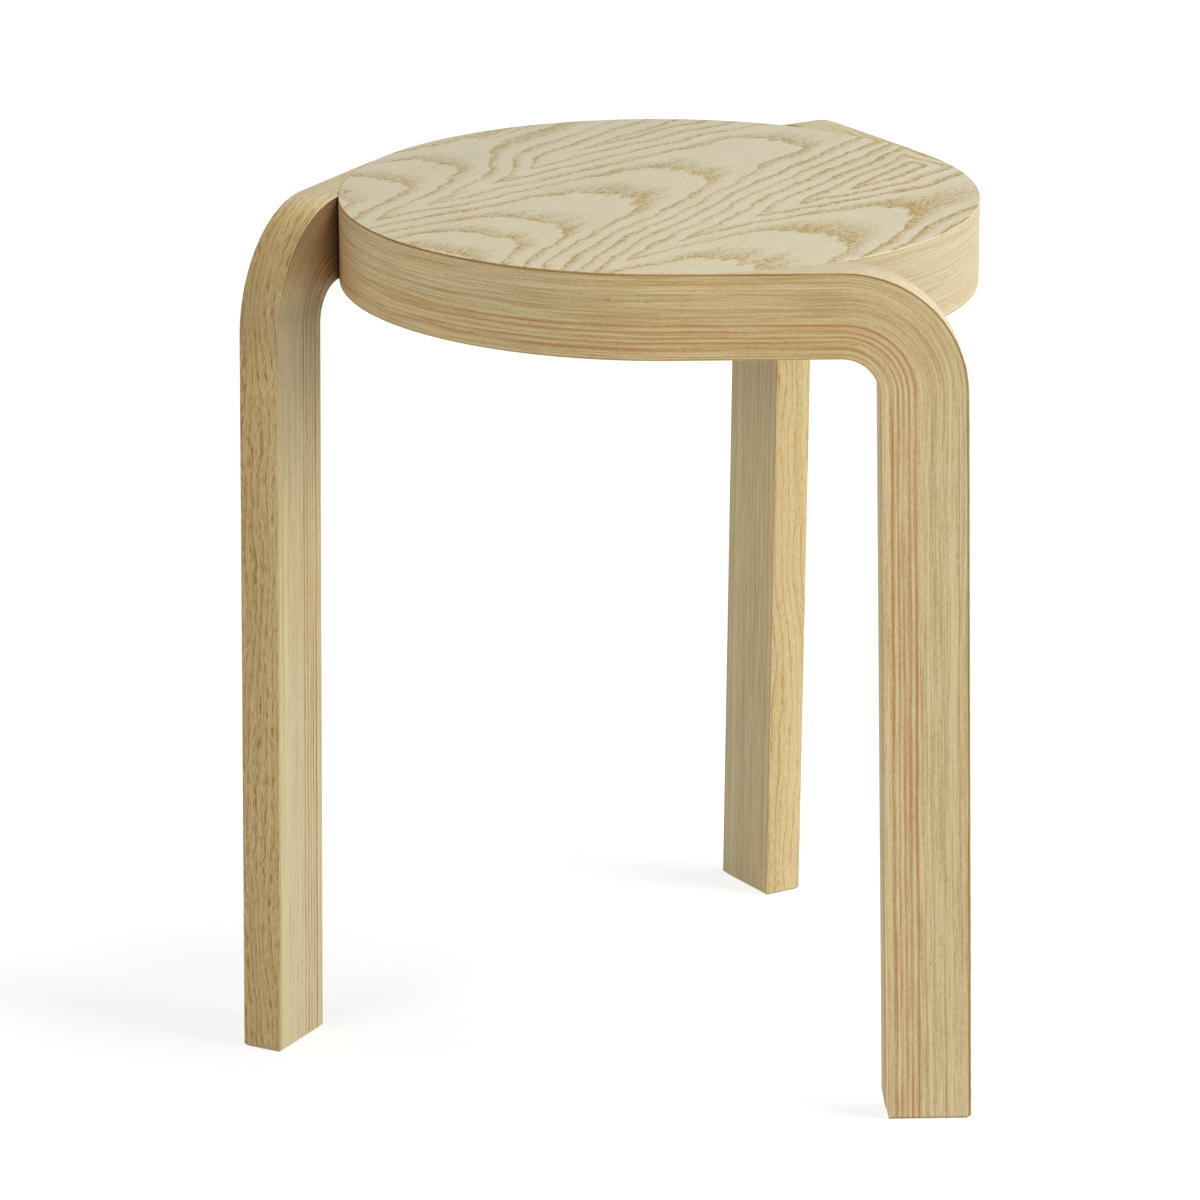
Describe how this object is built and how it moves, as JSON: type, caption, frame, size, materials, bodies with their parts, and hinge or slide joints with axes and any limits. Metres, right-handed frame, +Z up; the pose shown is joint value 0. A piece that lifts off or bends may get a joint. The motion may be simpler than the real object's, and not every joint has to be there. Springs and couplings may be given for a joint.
{
  "type": "stacking stool",
  "caption": "Round-seated stacking stool of laminated ash; bent legs leave the rim along its tangents like a pinwheel.",
  "frame": {"origin": "on the floor under the middle of the whole stool", "axes": "+Z up; +X along the reach of bend 1's leg, whose outer side face looks along -Y"},
  "size_m": [0.3778, 0.3738, 0.44],
  "materials": {
    "ash_sheet": "flat-sliced ash veneer with a flame figure, matt clear lacquer",
    "ash_face": "straight-grained ash veneer, matt clear lacquer",
    "pale_ply": "edges of pale plies, sanded, matt clear lacquer",
    "warm_ply": "edges of plies with red-brown lines, sanded, matt clear lacquer",
    "birch_tongue": "bare birch plywood, glued in"
  },
  "bodies": {
    "root": {"seat_veneer": "ash_sheet", "bend_1_outer_veneer": "ash_face", "bend_1_ply_01": "pale_ply", "bend_1_ply_02": "pale_ply", "bend_1_ply_03": "pale_ply", "bend_1_ply_04": "pale_ply", "bend_1_ply_05": "pale_ply", "bend_1_ply_06": "pale_ply", "bend_1_ply_07": "pale_ply", "bend_1_ply_08": "pale_ply", "bend_1_ply_09": "warm_ply", "bend_1_ply_10": "warm_ply", "bend_1_ply_11": "warm_ply", "bend_1_ply_12": "warm_ply", "bend_1_ply_13": "warm_ply", "bend_1_ply_14": "warm_ply", "bend_1_inner_veneer": "ash_face", "tongue_1_upper": "birch_tongue", "tongue_1_lower": "birch_tongue", "bend_2_outer_veneer": "ash_face", "bend_2_ply_01": "pale_ply", "bend_2_ply_02": "pale_ply", "bend_2_ply_03": "pale_ply", "bend_2_ply_04": "pale_ply", "bend_2_ply_05": "pale_ply", "bend_2_ply_06": "pale_ply", "bend_2_ply_07": "pale_ply", "bend_2_ply_08": "pale_ply", "bend_2_ply_09": "warm_ply", "bend_2_ply_10": "warm_ply", "bend_2_ply_11": "warm_ply", "bend_2_ply_12": "warm_ply", "bend_2_ply_13": "warm_ply", "bend_2_ply_14": "warm_ply", "bend_2_inner_veneer": "ash_face", "tongue_2_upper": "birch_tongue", "tongue_2_lower": "birch_tongue", "bend_3_outer_veneer": "ash_face", "bend_3_ply_01": "pale_ply", "bend_3_ply_02": "pale_ply", "bend_3_ply_03": "pale_ply", "bend_3_ply_04": "pale_ply", "bend_3_ply_05": "pale_ply", "bend_3_ply_06": "pale_ply", "bend_3_ply_07": "pale_ply", "bend_3_ply_08": "pale_ply", "bend_3_ply_09": "warm_ply", "bend_3_ply_10": "warm_ply", "bend_3_ply_11": "warm_ply", "bend_3_ply_12": "warm_ply", "bend_3_ply_13": "warm_ply", "bend_3_ply_14": "warm_ply", "bend_3_inner_veneer": "ash_face", "tongue_3_upper": "birch_tongue", "tongue_3_lower": "birch_tongue"}
  },
  "joints": []
}
